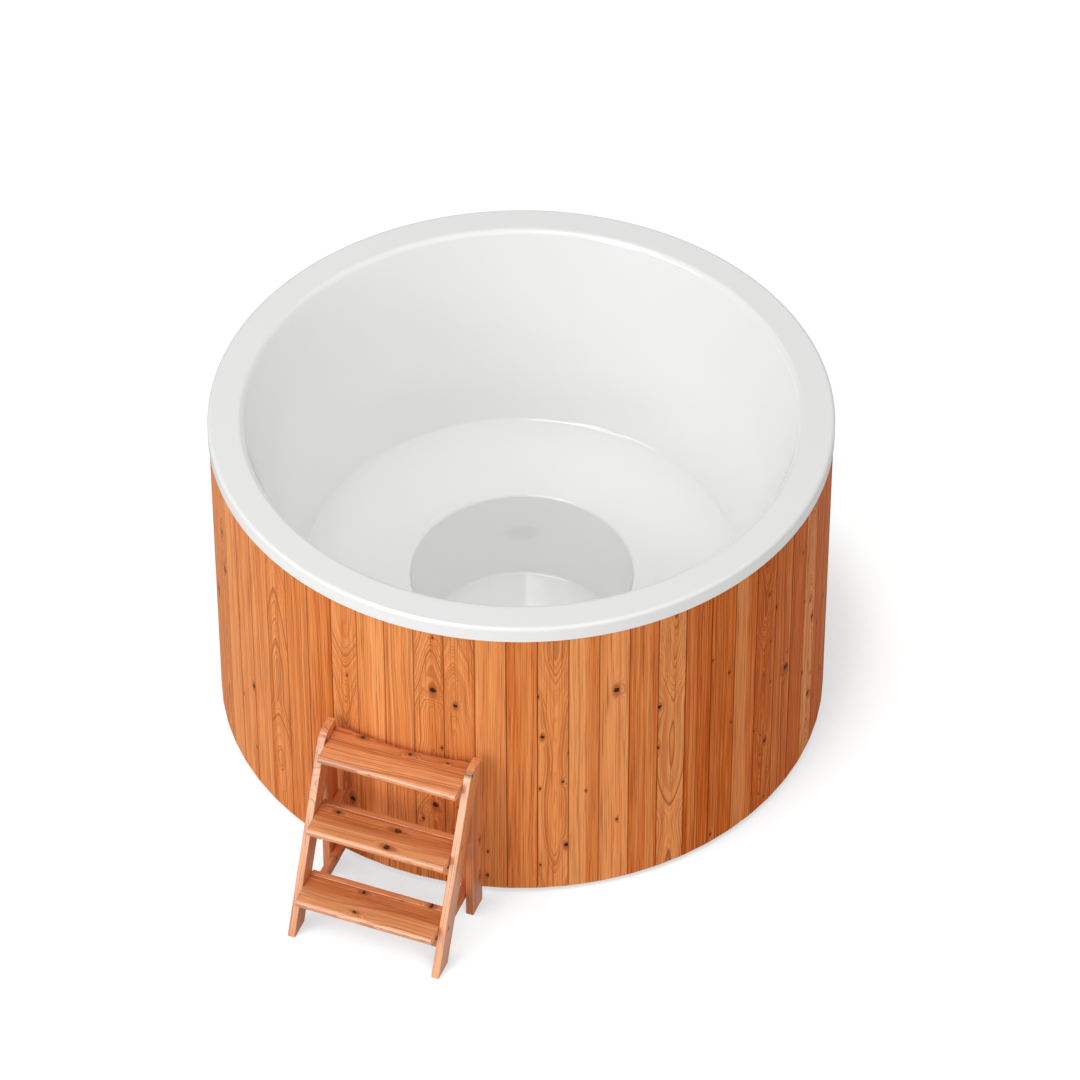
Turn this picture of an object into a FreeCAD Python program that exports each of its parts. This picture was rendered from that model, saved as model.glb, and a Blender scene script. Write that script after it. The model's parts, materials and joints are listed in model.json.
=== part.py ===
import FreeCAD, Part
import math
import os
import re
import Sketcher

# Round nordic hot tub: moulded insert, board cladding, a drain valve at the back and free-standing steps.
# Millimetres. +Z is up, the origin is on the floor under the tub's axis, and the steps stand on the -Y side.

SIZES = [
    ("rim_radius", 1000, "outer radius of the insert's rim"),
    ("tub_height", 1175, "floor to the top of the rim"),
    ("rim_width", 111, "rim, from its outer edge to the edge over the wall"),
    ("lip_depth", 54, "skirt that hangs from the rim's outer edge"),
    ("lip_overhang", 4, "how far the rim stands out over the cladding"),
    ("rim_edge_radius", 12, "rounding of the rim's outer edge"),
    ("rim_inner_edge_radius", 21, "rounding of the rim's edge over the wall"),
    ("bench_radius", 706, "where the wall meets the bench"),
    ("bench_height", 501, "height of the bench at the wall"),
    ("bench_fall", 31, "fall of the bench from the wall to the foot well"),
    ("bench_corner_radius", 18, "hollow between wall and bench"),
    ("well_top_radius", 366, "foot well at the level of the bench"),
    ("well_edge_radius", 12, "rounding of the bench's front edge"),
    ("floor_radius", 318, "foot well at its floor"),
    ("floor_height", 161, "height of the foot well's floor"),
    ("floor_corner_radius", 14, "hollow between the well's wall and floor"),
    ("shell_wall", 7, "thickness of the insert"),
    ("least_rounding", 2, "smallest rounding on the insert's back"),
    ("board_count", 64, "cladding boards around the tub"),
    ("board_turn", -1, "turn of the first board from straight ahead, in degrees"),
    ("board_thickness", 20, "thickness of a cladding board"),
    ("board_gap", 0.4, "room left between neighbouring boards"),
    ("board_chamfer", 2.5, "chamfer that forms the V joint"),
    ("tongue_length", 6, "how far a board's tongue stands out"),
    ("tongue_width", 5, "thickness of a board's tongue"),
    ("tongue_play", 0.8, "room around a tongue in its groove"),
    ("board_foot_gap", 21, "boards end this far above the floor"),
    ("board_head_gap", 1, "boards end this far under the lip"),
    ("frame_fit", 0.3, "clearance between pieces of the frame"),
    ("ring_setback", 12, "insert's wall to the ring under the rim"),
    ("top_ring_height", 85, "height of the ring under the rim"),
    ("band_thickness", 30, "thickness of the middle ring"),
    ("band_height", 70, "height of the middle ring"),
    ("band_level", 579, "underside of the middle ring"),
    ("bearer_height", 59, "height of the bearers on the floor"),
    ("bearer_width", 70, "width of the bearers on the floor"),
    ("bearer_spacing", 560, "distance between the bearers' centre lines"),
    ("deck_thickness", 25, "thickness of the base deck"),
    ("deck_hole_radius", 70, "opening in the deck under the drain"),
    ("joist_width", 45, "width of the joists under the foot well"),
    ("joist_length", 420, "length of the joists under the foot well"),
    ("joist_spacing", 320, "distance between the joists' centre lines"),
    ("stud_count", 6, "uprights of the frame, each with a knee"),
    ("stud_width", 45, "width of an upright along the wall"),
    ("stud_depth", 60, "depth of an upright towards the axis"),
    ("rib_thickness", 24, "thickness of a plywood knee"),
    ("rib_inner_radius", 480, "inner edge of a knee, under the bench"),
    ("rib_height", 919, "top of a knee"),
    ("rib_hole_radius", 85, "lightening hole in a knee"),
    ("drain_fit", 0.3, "clearance between pieces of the drain"),
    ("drain_flange_radius", 42, "drain flange on the well's floor"),
    ("drain_flange_height", 4, "thickness of the drain flange"),
    ("drain_tail_radius", 24, "threaded tail of the drain"),
    ("drain_bore_radius", 20, "bore of the drain"),
    ("drain_tail_end", 127, "height of the tail's lower end"),
    ("strainer_radius", 30, "perforated strainer in the drain flange"),
    ("strainer_thickness", 2.5, "thickness of the strainer"),
    ("strainer_hole_radius", 3.5, "holes in the strainer"),
    ("strainer_hole_circle", 13, "circle on which the strainer's holes lie"),
    ("strainer_hole_count", 8, "holes around the strainer"),
    ("gasket_thickness", 3, "gasket under the well's floor"),
    ("nut_height", 14, "nut under the gasket"),
    ("nut_radius", 42, "nut, across its corners, halved"),
    ("sump_radius", 34, "sump under the drain"),
    ("sump_bottom", 79, "height of the sump's underside"),
    ("sump_wall", 5, "wall of the sump and of its outlet"),
    ("sump_outlet", 60, "reach of the sump's outlet from the axis"),
    ("pipe_radius", 20, "outer radius of the drain pipe"),
    ("pipe_wall", 3, "wall of the drain pipe"),
    ("pipe_height", 106, "height of the drain pipe's axis"),
    ("pipe_seat", 22, "how deep the pipe sits in a socket"),
    ("collar_radius", 40, "collar around the pipe on the cladding"),
    ("collar_thickness", 8, "thickness of the collar"),
    ("collar_edge_radius", 3, "rounding of the collar's edge"),
    ("valve_offset", 62, "cladding to the valve's stem"),
    ("valve_radius", 34, "valve body around its ball"),
    ("valve_end_radius", 27, "valve body at its two ends"),
    ("valve_length", 92, "length of the valve body"),
    ("valve_waist", 46, "length of the valve body's wide middle"),
    ("ball_radius", 23, "ball of the valve"),
    ("ball_bore_radius", 16, "bore through the ball"),
    ("ball_flat", 20, "flat on the ball, measured from its centre, that the stem drives"),
    ("stem_radius", 6, "stem of the valve"),
    ("neck_radius", 12, "neck of the valve around the stem"),
    ("neck_height", 50, "top of the neck above the pipe's axis"),
    ("stem_nut_radius", 9.5, "nut that holds the lever"),
    ("stem_nut_height", 6, "height of that nut"),
    ("lever_thickness", 3, "thickness of the lever's steel strip"),
    ("lever_width", 22, "width of the lever's steel strip"),
    ("lever_length", 130, "stem to the end of the lever"),
    ("lever_rise", 16, "step of the lever above the neck"),
    ("lever_root", 24, "stem to the start of the lever's step"),
    ("lever_slope", 14, "length of the lever's step"),
    ("lever_bend_radius", 6, "inner bends of the lever"),
    ("grip_length", 80, "length of the lever's grip"),
    ("grip_width", 29, "width of the lever's grip"),
    ("grip_height", 12, "height of the lever's grip"),
    ("grip_edge_radius", 4, "rounding of the grip's edges"),
    ("grip_end", 4, "grip beyond the end of the lever"),
    ("spigot_radius", 20, "outlet spigot for a hose"),
    ("spigot_length", 45, "length of the outlet spigot"),
    ("spigot_flange", 12, "length of the spigot's flange on the valve"),
    ("spigot_wall", 3.5, "wall of the outlet spigot"),
    ("spigot_edge", 2, "chamfer at the spigot's mouth"),
    ("step_gap", 3, "cladding to the rear of the steps"),
    ("step_offset", -2.8, "middle of the steps, from the tub's axis towards +X"),
    ("step_width", 518, "width of the steps"),
    ("side_rise", 33, "top tread to the top of the side boards"),
    ("step_board", 26, "thickness of the steps' side boards"),
    ("step_fit", 0.2, "clearance between pieces of the steps"),
    ("stringer_width", 71, "width of a leaning side board"),
    ("stringer_lean", 25, "lean of the side boards, in degrees from upright"),
    ("stringer_round", 45, "rounding of a side board's upper front corner"),
    ("post_depth", 79, "depth of a rear post"),
    ("first_rise", 162, "floor to the top of the lowest tread"),
    ("tread_rise", 221, "height from tread to tread"),
    ("tread_run", 107, "how far each lower tread comes forward"),
    ("tread_reach", 155, "rear of the steps to the nose of the top tread"),
    ("tread_depth", 130, "depth of the two lower treads"),
    ("tread_thickness", 27, "thickness of a tread"),
    ("nose_radius", 12, "rounding of a tread's nose"),
    ("hollow_gap", 21, "cladding to the hollowed back of the top tread"),
    ("rail_thickness", 23, "thickness of the rails behind the treads"),
    ("rail_height", 60, "height of the rails behind the treads"),
    ("cleat_width", 26, "width of the cleats on the side boards"),
    ("cleat_height", 32, "height of the cleats on the side boards"),
    ("cleat_setback", 60, "nose of a tread to the front end of its cleats"),
]

BOARDS_PER_NODE = 8
SAME_POINT = 0.01
TOP_LEVEL = 2

doc = FreeCAD.newDocument("NordicHotTub")
sheet = doc.addObject("Spreadsheet::Sheet", "Sizes")
for row, (alias, number, note) in enumerate(SIZES, start=1):
    sheet.set("A%d" % row, alias)
    sheet.set("B%d" % row, str(number))
    sheet.setAlias("B%d" % row, alias)
    sheet.set("C%d" % row, note)
doc.recompute()

ALIASES = {alias for alias, number, note in SIZES}
nodes = []


def cells(text):
    """An expression on size names, written for the sheet's cells."""
    return re.sub(r"[a-z_]+", lambda word: ("Sizes." if word[0] in ALIASES else "") + word[0], text)


def value(text):
    """The present number behind an expression on size names."""
    return float(sheet.evalExpression(cells(text)))


def bind(thing, prop, text):
    thing.setExpression(prop, cells(text))


def bind_place(thing, x="0", y="0", z="0"):
    for axis, text in zip("xyz", (x, y, z)):
        bind(thing, "Placement.Base." + axis, text)


def node(thing, label):
    """Marks an object as a finished sub-part under its own name."""
    thing.Label = label
    if thing.Label != label:
        raise RuntimeError("name used twice: " + label)
    nodes.append(thing)
    return thing


def new_body(name):
    return doc.addObject("PartDesign::Body", name)


def origin_feature(body, role):
    return next(feature for feature in body.Origin.OriginFeatures if feature.Role == role)


def new_sketch(body, plane):
    sketch = body.newObject("Sketcher::SketchObject", body.Name + "_sketch")
    sketch.AttachmentSupport = (origin_feature(body, plane), [""])
    sketch.MapMode = "FlatFace"
    return sketch


def bound(sketch, kind, text, *places):
    """Adds a dimension to a sketch and ties it to the sheet."""
    index = sketch.addConstraint(Sketcher.Constraint(kind, *places, value(text)))
    bind(sketch, "Constraints[%d]" % index, text)


def pin_point(sketch, geometry, point, u, v):
    bound(sketch, "DistanceX", u, -1, 1, geometry, point)
    bound(sketch, "DistanceY", v, -1, 1, geometry, point)


def outline(body, plane, corners):
    """Closed sketch through corners (u, v) or (u, v, rounding), all expressions on size names."""
    sketch = new_sketch(body, plane)
    points = [FreeCAD.Vector(value(corner[0]), value(corner[1]), 0) for corner in corners]
    count = len(corners)
    starts, ends, arcs = [], [], []
    for i, corner in enumerate(corners):
        before = (points[i - 1] - points[i]).normalize()
        after = (points[(i + 1) % count] - points[i]).normalize()
        if len(corner) == 2:
            starts.append(points[i])
            ends.append(points[i])
            arcs.append(None)
            continue
        half = before.getAngle(after) / 2
        radius = value(corner[2])
        run = radius / math.tan(half)
        middle = (before + after).normalize()
        ends.append(points[i] + before * run)
        starts.append(points[i] + after * run)
        nearest = points[i] + middle * (radius / math.sin(half) - radius)
        arcs.append(Part.Arc(ends[i], nearest, starts[i]))
    sides = [Part.LineSegment(starts[i], ends[(i + 1) % count]) for i in range(count)]
    lines = [sketch.addGeometry(side, False) for side in sides]
    for i, corner in enumerate(corners):
        arriving, leaving = lines[i - 1], lines[i]
        if arcs[i] is None:
            sketch.addConstraint(Sketcher.Constraint("Coincident", arriving, 2, leaving, 1))
            pin_point(sketch, leaving, 1, corner[0], corner[1])
            continue
        arc = sketch.addGeometry(arcs[i], False)
        corner_point = sketch.addGeometry(Part.Point(points[i]), True)
        pin_point(sketch, corner_point, 1, corner[0], corner[1])
        sketch.addConstraint(Sketcher.Constraint("PointOnObject", corner_point, 1, arriving))
        sketch.addConstraint(Sketcher.Constraint("PointOnObject", corner_point, 1, leaving))
        first, last = arc_ends(sketch, arc, ends[i])
        sketch.addConstraint(Sketcher.Constraint("Tangent", arriving, 2, arc, first))
        sketch.addConstraint(Sketcher.Constraint("Tangent", arc, last, leaving, 1))
        bound(sketch, "Radius", corner[2], arc)
    return sketch


def arc_ends(sketch, arc, arrival):
    """Which ends of a sketch's arc, start 1 and end 2, meet the arriving and the leaving line."""
    starts_there = (sketch.getPoint(arc, 1) - arrival).Length < SAME_POINT
    return (1, 2) if starts_there else (2, 1)


def revolve(body, corners):
    """A turned solid: corners are (radius, height) in the body's XZ plane, turned about its Z axis."""
    sketch = outline(body, "XZ_Plane", corners)
    turned = body.newObject("PartDesign::Revolution", body.Name + "_turned")
    turned.Profile = sketch
    turned.ReferenceAxis = (sketch, ["V_Axis"])
    turned.Angle = 360
    return turned


def pad(body, plane, corners, length):
    sketch = outline(body, plane, corners)
    padded = body.newObject("PartDesign::Pad", body.Name + "_pad")
    padded.Profile = sketch
    bind(padded, "Length", length)
    return padded


def round_hole(body, plane, radius, u, v):
    """A round hole right through a body, square to one of its planes."""
    sketch = new_sketch(body, plane)
    centre = FreeCAD.Vector(value(u), value(v), 0)
    ring = sketch.addGeometry(Part.Circle(centre, FreeCAD.Vector(0, 0, 1), value(radius)), False)
    pin_point(sketch, ring, 3, u, v)
    bound(sketch, "Radius", radius, ring)
    hole = body.newObject("PartDesign::Pocket", body.Name + "_hole")
    hole.Profile = sketch
    hole.Type = "ThroughAll"
    hole.Midplane = True
    return hole


def box(name, low, size):
    solid = doc.addObject("Part::Box", name)
    for prop, text in zip(("Length", "Width", "Height"), size):
        bind(solid, prop, text)
    bind_place(solid, *low)
    return solid


TURNS = {"z": FreeCAD.Rotation(), "y": FreeCAD.Rotation(FreeCAD.Vector(1, 0, 0), -90),
         "x": FreeCAD.Rotation(FreeCAD.Vector(0, 1, 0), 90)}


def cylinder(name, radius, height, foot=("0", "0", "0"), along="z"):
    solid = doc.addObject("Part::Cylinder", name)
    solid.Placement.Rotation = TURNS[along]
    bind(solid, "Radius", radius)
    bind(solid, "Height", height)
    bind_place(solid, *foot)
    return solid


def cut(base, tool):
    result = doc.addObject("Part::Cut", base.Name + "_cut")
    result.Base = base
    result.Tool = tool
    return result


def fuse(name, solids):
    result = doc.addObject("Part::MultiFuse", name)
    result.Shapes = solids
    return result


def tube(name, outer, inner, length, foot=("0", "0", "0"), along="z"):
    blank = cylinder(name + "_blank", outer, length, foot, along)
    return cut(blank, cylinder(name + "_bore", inner, length, foot, along))


# Heights and radii that several pieces share
CLADDING = "(rim_radius - lip_overhang)"
BOARD_BACK = "(rim_radius - lip_overhang - board_thickness)"
FRAME_EDGE = "(rim_radius - lip_overhang - board_thickness - frame_fit)"
LIP_BOTTOM = "(tub_height - lip_depth)"
RIM_UNDERSIDE = "(tub_height - shell_wall)"
WELL_UNDERSIDE = "(floor_height - shell_wall)"
DECK_TOP = "(bearer_height + deck_thickness)"
STUD_FACE = "(sqrt(%s ^ 2 - (stud_width / 2) ^ 2))" % FRAME_EDGE
STUD_BACK = "(%s - stud_depth)" % STUD_FACE
BENCH_EDGE = "(bench_height - bench_fall)"


def back_rounding(front):
    """Rounding of the insert's back behind an edge that is rounded outwards on the bathing side."""
    return "max(%s - shell_wall; least_rounding)" % front


def make_shell():
    """The moulded insert: the bathing side from lip to drain, then the back at one wall's thickness."""
    body = new_body("tub_shell")
    revolve(body, [
        ("rim_radius", LIP_BOTTOM),
        ("rim_radius", "tub_height", "rim_edge_radius"),
        ("rim_radius - rim_width", "tub_height", "rim_inner_edge_radius"),
        ("bench_radius", "bench_height", "bench_corner_radius"),
        ("well_top_radius", BENCH_EDGE, "well_edge_radius"),
        ("floor_radius", "floor_height", "floor_corner_radius"),
        ("drain_tail_radius + drain_fit", "floor_height"),
        ("drain_tail_radius + drain_fit", WELL_UNDERSIDE),
        ("floor_radius + shell_wall", WELL_UNDERSIDE, "floor_corner_radius + shell_wall"),
        ("well_top_radius + shell_wall", BENCH_EDGE + " - shell_wall", back_rounding("well_edge_radius")),
        ("bench_radius + shell_wall", "bench_height - shell_wall", "bench_corner_radius + shell_wall"),
        ("rim_radius - rim_width + shell_wall", RIM_UNDERSIDE, back_rounding("rim_inner_edge_radius")),
        ("rim_radius - shell_wall", RIM_UNDERSIDE, back_rounding("rim_edge_radius")),
        ("rim_radius - shell_wall", LIP_BOTTOM),
    ])
    node(body, "tub_shell")


def board_side(depth, out="0"):
    """Half width of a board at a depth behind its face, plus what stands out from its edge there."""
    return "(%s - (%s)) * tan(180 / board_count) - board_gap / 2 + (%s)" % (CLADDING, depth, out)


def board_section():
    """One tongue-and-groove board in plan, facing -Y: tongue on the -X edge, groove on the +X edge."""
    tongue = ["(board_thickness - tongue_width) / 2", "(board_thickness + tongue_width) / 2"]
    groove = [tongue[0] + " - tongue_play", tongue[1] + " + tongue_play"]
    right = [("0", "-board_chamfer"), ("board_chamfer", "0"), (groove[0], "0"),
             (groove[0], "-(tongue_length + board_gap)"), (groove[1], "-(tongue_length + board_gap)"),
             (groove[1], "0"), ("board_thickness", "0")]
    left = [("board_thickness", "0"), (tongue[1], "0"), (tongue[1], "tongue_length"),
            (tongue[0], "tongue_length"), (tongue[0], "0"), ("board_chamfer", "0"), ("0", "-board_chamfer")]
    corners = [(board_side(depth, out), "-(%s - (%s))" % (CLADDING, depth)) for depth, out in right]
    corners += [("-(%s)" % board_side(depth, out), "-(%s - (%s))" % (CLADDING, depth)) for depth, out in left]
    return corners


def make_cladding():
    """Upright boards around the tub, in groups; the board straight behind has a hole for the drain pipe."""
    boards = int(value("board_count"))
    groups = math.ceil(boards / BOARDS_PER_NODE)
    for group in range(groups):
        first = group * BOARDS_PER_NODE
        members = min(BOARDS_PER_NODE, boards - first)
        body = new_body("boards_%02d" % (group + 1))
        board = pad(body, "XY_Plane", board_section(), LIP_BOTTOM + " - board_head_gap - board_foot_gap")
        row = body.newObject("PartDesign::PolarPattern", body.Name + "_row")
        row.Originals = [board]
        row.Axis = (origin_feature(body, "Z_Axis"), [""])
        row.Occurrences = members
        bind(row, "Angle", "360 / board_count * %d" % (members - 1))
        body.Tip = row
        bind_place(body, z="board_foot_gap")
        turn = 360 / boards * first + value("board_turn")
        body.Placement.Rotation = FreeCAD.Rotation(FreeCAD.Vector(0, 0, 1), turn)
        behind = first <= boards // 2 < first + members
        node(cut(body, pipe_hole()) if behind else body, "cladding_%02d" % (group + 1))


def pipe_hole():
    return cylinder("pipe_hole", "pipe_radius + drain_fit", "board_thickness * 2",
                    ("0", BOARD_BACK + " - board_thickness / 2", "pipe_height"), "y")


def make_rings():
    foot = ("0", "0", RIM_UNDERSIDE + " - top_ring_height")
    inside = "rim_radius - rim_width + shell_wall + ring_setback"
    node(tube("top_ring", FRAME_EDGE, inside, "top_ring_height", foot), "top_ring")
    foot = ("0", "0", "band_level")
    inside = FRAME_EDGE + " - band_thickness"
    node(tube("middle_ring", FRAME_EDGE, inside, "band_height", foot), "middle_ring")
    foot = ("0", "0", "bearer_height")
    node(tube("base_deck", FRAME_EDGE, "deck_hole_radius", "deck_thickness", foot), "base_deck")


def make_base():
    """Three bearers on the floor, as long as the cladding lets them be, and two joists under the well."""
    for side, label in ((-1, "base_bearer_left"), (0, "base_bearer_centre"), (1, "base_bearer_right")):
        outer_edge = "(%d * bearer_spacing + bearer_width / 2)" % abs(side)
        half = "sqrt(%s ^ 2 - %s ^ 2)" % (FRAME_EDGE, outer_edge)
        low = ("%d * bearer_spacing - bearer_width / 2" % side, "-" + half, "0")
        node(box(label, low, ("bearer_width", "2 * " + half, "bearer_height")), label)
    for side, label in ((-1, "well_joist_left"), (1, "well_joist_right")):
        low = ("%d * joist_spacing / 2 - joist_width / 2" % side, "-joist_length / 2", DECK_TOP)
        size = ("joist_width", "joist_length", WELL_UNDERSIDE + " - " + DECK_TOP)
        node(box(label, low, size), label)


def make_stud(label, angle):
    """An upright of the frame, let in for the middle ring, drawn on the +X side and turned to its place."""
    band_back = "(sqrt((%s - band_thickness) ^ 2 - (stud_width / 2) ^ 2) - frame_fit)" % FRAME_EDGE
    body = new_body(label)
    upright = pad(body, "XZ_Plane", [
        (STUD_BACK, DECK_TOP),
        (STUD_FACE, DECK_TOP),
        (STUD_FACE, "band_level - frame_fit"),
        (band_back, "band_level - frame_fit"),
        (band_back, "band_level + band_height + frame_fit"),
        (STUD_FACE, "band_level + band_height + frame_fit"),
        (STUD_FACE, RIM_UNDERSIDE + " - top_ring_height"),
        (STUD_BACK, RIM_UNDERSIDE + " - top_ring_height"),
    ], "stud_width")
    upright.Midplane = True
    body.Placement.Rotation = FreeCAD.Rotation(FreeCAD.Vector(0, 0, 1), angle)
    node(body, label)


def make_rib(label, angle):
    """A plywood knee between an upright and the insert, along bench and wall, with a lightening hole."""
    wall_slope = "((rim_radius - rim_width - bench_radius) / (tub_height - bench_height))"
    bench_slope = "(bench_fall / (bench_radius - well_top_radius))"
    seat = "(bench_height - shell_wall - frame_fit)"
    under_bench = "(%s - (bench_radius + shell_wall - rib_inner_radius) * %s)" % (seat, bench_slope)
    wall_back = "(bench_radius + shell_wall + frame_fit)"
    wall_top = "(%s + (rib_height - %s) * %s)" % (wall_back, seat, wall_slope)
    edge = STUD_BACK + " - frame_fit"
    body = new_body(label)
    knee = pad(body, "XZ_Plane", [
        ("rib_inner_radius", DECK_TOP),
        (edge, DECK_TOP),
        (edge, "rib_height"),
        (wall_top, "rib_height"),
        (wall_back, seat, "bench_corner_radius + shell_wall"),
        ("rib_inner_radius", under_bench),
    ], "rib_thickness")
    knee.Midplane = True
    round_hole(body, "XZ_Plane", "rib_hole_radius", "(rib_inner_radius + %s) / 2" % STUD_BACK,
               "(%s + %s) / 2" % (DECK_TOP, seat))
    body.Placement.Rotation = FreeCAD.Rotation(FreeCAD.Vector(0, 0, 1), angle)
    node(body, label)


def make_frame():
    """Uprights and knees at equal angles, with the drain's way out midway between two of them."""
    studs = int(value("stud_count"))
    pitch = 360 / studs
    for i in range(studs):
        angle = 90 + pitch * (i + 0.5)
        make_stud("frame_stud_%d" % (i + 1), angle)
        make_rib("shell_rib_%d" % (i + 1), angle)


def make_drain():
    """Strainer, flanged drain, gasket, nut, sump and the pipe that leads out at the back."""
    recess = "(floor_height + drain_flange_height - strainer_thickness - drain_fit)"
    body = new_body("drain_strainer")
    revolve(body, [
        ("0", recess),
        ("strainer_radius - drain_fit", recess),
        ("strainer_radius - drain_fit", recess + " + strainer_thickness"),
        ("0", recess + " + strainer_thickness"),
    ])
    strainer_holes(body)
    node(body, "drain_strainer")

    flange_top = "(floor_height + drain_flange_height)"
    body = new_body("drain_body")
    revolve(body, [
        ("drain_flange_radius", "floor_height"),
        ("drain_flange_radius", flange_top, "drain_flange_height / 2"),
        ("strainer_radius", flange_top),
        ("strainer_radius", recess),
        ("drain_bore_radius", recess),
        ("drain_bore_radius", "drain_tail_end"),
        ("drain_tail_radius", "drain_tail_end"),
        ("drain_tail_radius", "floor_height"),
    ])
    node(body, "drain_body")

    hole = "drain_tail_radius + drain_fit"
    foot = ("0", "0", WELL_UNDERSIDE + " - gasket_thickness")
    node(tube("drain_gasket", "drain_flange_radius", hole, "gasket_thickness", foot), "drain_gasket")

    nut_bottom = "(%s - gasket_thickness - nut_height)" % WELL_UNDERSIDE
    nut = doc.addObject("Part::Prism", "nut_blank")
    nut.Polygon = 6
    bind(nut, "Circumradius", "nut_radius")
    bind(nut, "Height", "nut_height")
    bind_place(nut, z=nut_bottom)
    node(cut(nut, cylinder("nut_bore", hole, "nut_height", ("0", "0", nut_bottom))), "drain_nut")

    sump_height = "(%s - drain_fit - sump_bottom)" % nut_bottom
    level = ("0", "0", "pipe_height")
    cup = cylinder("sump_cup", "sump_radius", sump_height, ("0", "0", "sump_bottom"))
    outlet = cylinder("sump_spigot", "pipe_radius + drain_fit + sump_wall", "sump_outlet", level, "y")
    chamber = cylinder("sump_chamber", hole, sump_height, ("0", "0", "sump_bottom + sump_wall"))
    passage = cylinder("sump_passage", "pipe_radius - pipe_wall", "sump_outlet", level, "y")
    socket = cylinder("sump_socket", "pipe_radius + drain_fit", "sump_outlet",
                      ("0", "sump_outlet - pipe_seat", "pipe_height"), "y")
    node(cut(fuse("sump", [cup, outlet]), fuse("sump_hollow", [chamber, passage, socket])), "drain_sump")

    start = "(sump_outlet - pipe_seat + drain_fit)"
    end = "(%s + valve_offset - valve_length / 2 + pipe_seat - drain_fit)" % CLADDING
    node(tube("drain_pipe", "pipe_radius", "pipe_radius - pipe_wall", end + " - " + start,
              ("0", start, "pipe_height"), "y"), "drain_pipe")


def strainer_holes(body):
    """A circle of holes through the strainer."""
    hole = round_hole(body, "XY_Plane", "strainer_hole_radius", "strainer_hole_circle", "0")
    circle = body.newObject("PartDesign::PolarPattern", body.Name + "_circle")
    circle.Originals = [hole]
    circle.Axis = (origin_feature(body, "Z_Axis"), [""])
    circle.Angle = 360
    bind(circle, "Occurrences", "strainer_hole_count")
    body.Tip = circle


def turned_on_pipe(label, corners):
    """A piece turned about the pipe's axis; heights in its outline run from the cladding outwards."""
    body = new_body(label)
    revolve(body, corners)
    body.Placement.Rotation = TURNS["y"]
    bind_place(body, y=CLADDING, z="pipe_height")
    return body


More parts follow.
